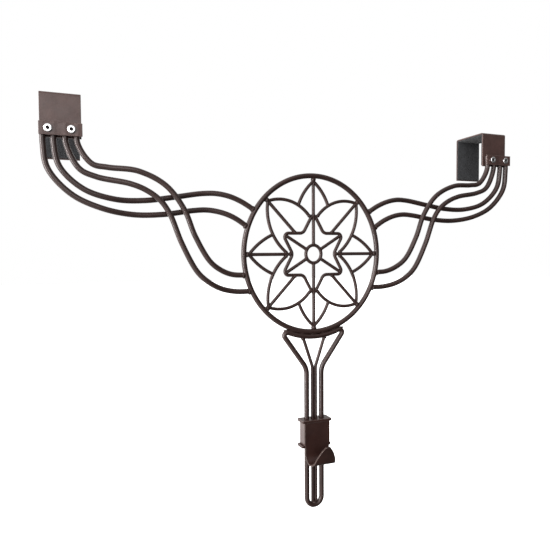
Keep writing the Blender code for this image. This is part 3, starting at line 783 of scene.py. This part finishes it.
def build_hook(shape):
    """The hook's sheet, row by row along its profile, each row as wide as the sheet."""
    left, right = sheet_outline(hook_path, HOOK_T)
    across = 16
    rows = []
    for q, *faces in zip(hook_path, left, right):
        w = half_width(q)
        rows.append([[shape.verts.new(Vector((w * (2 * k / across - 1), r.x, r.z)) * MM
                                      + SLIDE_AT * MM) for k in range(across + 1)]
                     for r in faces])
    for a, b in zip(rows, rows[1:]):
        for face in (0, 1):
            for k in range(across):
                shape.faces.new((a[face][k], a[face][k + 1], b[face][k + 1], b[face][k]))
        for k in (0, across):
            shape.faces.new((a[0][k], b[0][k], b[1][k], a[1][k]))
    for row in (rows[0], rows[-1]):
        for k in range(across):
            shape.faces.new((row[0][k], row[0][k + 1], row[1][k + 1], row[1][k]))


hook = mesh_object("hook_sheet", build_hook)
settle(hook, "slider", ["hook_plate"], "bronze_coat", COAT_HOOK, COAT_CUT_HIGHLIGHT)
soften(hook, 0.2, 1, angle=50)

# ---- stage ----------------------------------------------------------------------------------
FLOOR_DROP = 0.30                              # metres below the hanger

floor = mesh_object("floor", lambda shape: bmesh.ops.create_grid(
    shape, x_segments=1, y_segments=1, size=12.0))
floor.location = (0, 0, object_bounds()[0].z - FLOOR_DROP)
bpy.context.scene.collection.objects.link(floor)
pale = bpy.data.materials.new("pale_floor")
pale.use_nodes = True
shader = pale.node_tree.nodes["Principled BSDF"]
shader.inputs["Base Color"].default_value = (0.9, 0.9, 0.9, 1)
shader.inputs["Roughness"].default_value = 0.9
shader.inputs["Emission Color"].default_value = (1, 1, 1, 1)
shader.inputs["Emission Strength"].default_value = 0.95
floor.data.materials.append(pale)
floor.visible_diffuse = floor.visible_glossy = False

world = bpy.data.worlds.new("studio")
bpy.context.scene.world = world
world.use_nodes = True
tree = world.node_tree
room = tree.nodes["Background"]
sky = tree.nodes.new("ShaderNodeSeparateXYZ")
tree.links.new(tree.nodes.new("ShaderNodeTexCoord").outputs["Generated"], sky.inputs[0])


def glow(axis, start, end, amount, base):
    """Light that grows from one side of the room to the other, added to base."""
    grade = tree.nodes.new("ShaderNodeMapRange")
    grade.interpolation_type = "SMOOTHSTEP"
    grade.inputs["From Min"].default_value = start
    grade.inputs["From Max"].default_value = end
    grade.inputs["To Max"].default_value = amount
    tree.links.new(sky.outputs[axis], grade.inputs["Value"])
    total = tree.nodes.new("ShaderNodeMath")
    tree.links.new(grade.outputs["Result"], total.inputs[0])
    if isinstance(base, float):
        total.inputs[1].default_value = base
    else:
        tree.links.new(base, total.inputs[1])
    return total.outputs[0]


# bright on the hanger's left, softer from above and from behind, dark on its right
light = glow("X", 0.45, -0.85, 1.15, 0.08)
light = glow("Z", 0.0, 0.9, 0.45, light)
light = glow("Y", 0.35, 0.95, 0.9, light)
tree.links.new(light, room.inputs["Strength"])
seen = tree.nodes.new("ShaderNodeBackground")
pick = tree.nodes.new("ShaderNodeMixShader")
tree.links.new(tree.nodes.new("ShaderNodeLightPath").outputs["Is Camera Ray"],
               pick.inputs["Fac"])
tree.links.new(room.outputs[0], pick.inputs[1])
tree.links.new(seen.outputs[0], pick.inputs[2])
tree.links.new(pick.outputs[0], tree.nodes["World Output"].inputs["Surface"])
room.inputs["Color"].default_value = (1, 0.985, 0.975, 1)
seen.inputs["Color"].default_value = (1, 1, 1, 1)


def softbox(name, at, aim, size, power):
    data = bpy.data.lights.new(name, "AREA")
    data.shape = "RECTANGLE"
    data.size, data.size_y = size
    data.energy = power
    ob = bpy.data.objects.new(name, data)
    ob.location = at
    ob.rotation_euler = (Vector(aim) - Vector(at)).to_track_quat("-Z", "Y").to_euler()
    ob.visible_camera = False
    bpy.context.scene.collection.objects.link(ob)


softbox("left_strip", (-1.9, -0.45, 0.0), (-0.1, 0, -0.2), (0.55, 2.0), 58)
softbox("front_left", (-0.6, -2.2, 0.45), (-0.2, 0, -0.1), (1.2, 1.0), 11)

bpy.context.scene.view_settings.view_transform = "Standard"
bpy.context.scene.view_settings.look = "None"
